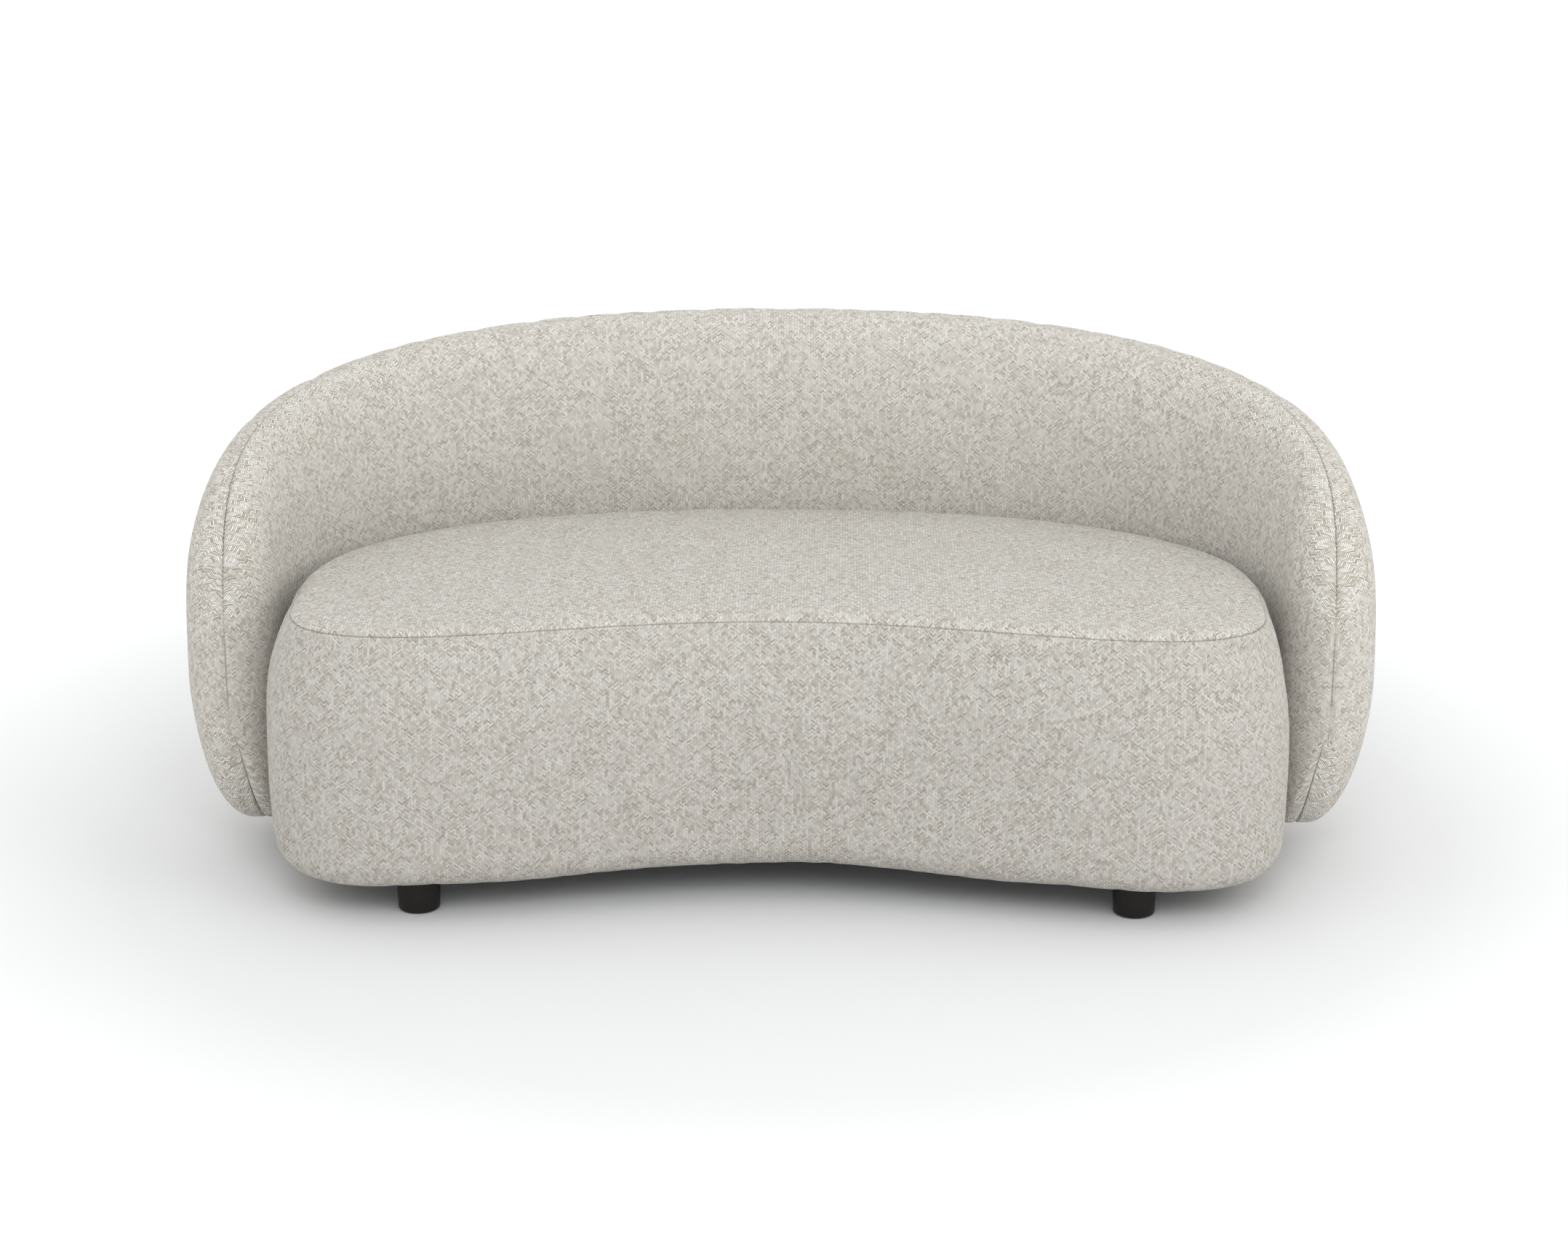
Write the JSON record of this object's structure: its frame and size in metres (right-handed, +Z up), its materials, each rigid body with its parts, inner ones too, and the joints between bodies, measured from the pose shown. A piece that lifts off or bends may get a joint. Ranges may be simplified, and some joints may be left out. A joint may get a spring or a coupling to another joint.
{
  "type": "curved sofa",
  "caption": "Curved sofa: a bean-shaped upholstered seat block wrapped by a padded crescent back that runs forward into low arms, on short round feet.",
  "frame": {"origin": "on the floor under the middle of the sofa: the middle of the bounding box, at its bottom", "axes": "+X to the right seen from the front, -Y out of the front of the seat, +Z up"},
  "size_m": [1.7318, 0.9092, 0.719],
  "materials": {
    "cloth": "flecked chenille weave, warm off-white and greige",
    "foam": "open-cell upholstery foam",
    "plywood": "raw birch plywood",
    "board": "raw bent fibreboard",
    "webbing": "woven elastic webbing",
    "dust_cloth": "black non-woven lining",
    "steel": "zinc plated",
    "black_foot": "satin black",
    "felt": "pressed felt"
  },
  "bodies": {
    "root": {"seat_side_cover": "cloth", "seat_top_cover": "cloth", "back_inner_cover": "cloth", "back_outer_cover": "cloth", "seat_foam_block": "foam", "seat_side_foam": "foam", "back_inner_foam": "foam", "back_outer_foam": "foam", "seat_bottom_ring": "plywood", "seat_deck_ring": "plywood", "seat_centre_bearer": "plywood", "back_bottom_rail": "plywood", "back_top_rail": "plywood", "seat_post_1": "plywood", "seat_post_2": "plywood", "seat_post_3": "plywood", "seat_post_4": "plywood", "seat_post_5": "plywood", "seat_post_6": "plywood", "back_rib_1": "plywood", "back_rib_2": "plywood", "back_rib_3": "plywood", "back_rib_4": "plywood", "back_rib_5": "plywood", "back_rib_6": "plywood", "back_rib_7": "plywood", "back_rib_8": "plywood", "seat_bent_skin": "board", "back_inner_panel": "board", "back_outer_panel": "board", "webbing_cross_1": "webbing", "webbing_cross_2": "webbing", "webbing_cross_3": "webbing", "webbing_cross_4": "webbing", "webbing_cross_5": "webbing", "webbing_cross_6": "webbing", "webbing_cross_7": "webbing", "webbing_long_1": "webbing", "webbing_long_2": "webbing", "webbing_long_3": "webbing", "seat_dust_cloth": "dust_cloth", "back_dust_cloth": "dust_cloth", "joining_plate_1": "steel", "joining_plate_2": "steel", "joining_plate_3": "steel", "joining_plate_4": "steel", "foot_front_left": "black_foot", "foot_bolt_front_left": "steel", "foot_glide_front_left": "felt", "foot_front_right": "black_foot", "foot_bolt_front_right": "steel", "foot_glide_front_right": "felt", "foot_rear_left": "black_foot", "foot_bolt_rear_left": "steel", "foot_glide_rear_left": "felt", "foot_rear_right": "black_foot", "foot_bolt_rear_right": "steel", "foot_glide_rear_right": "felt"}
  },
  "joints": []
}
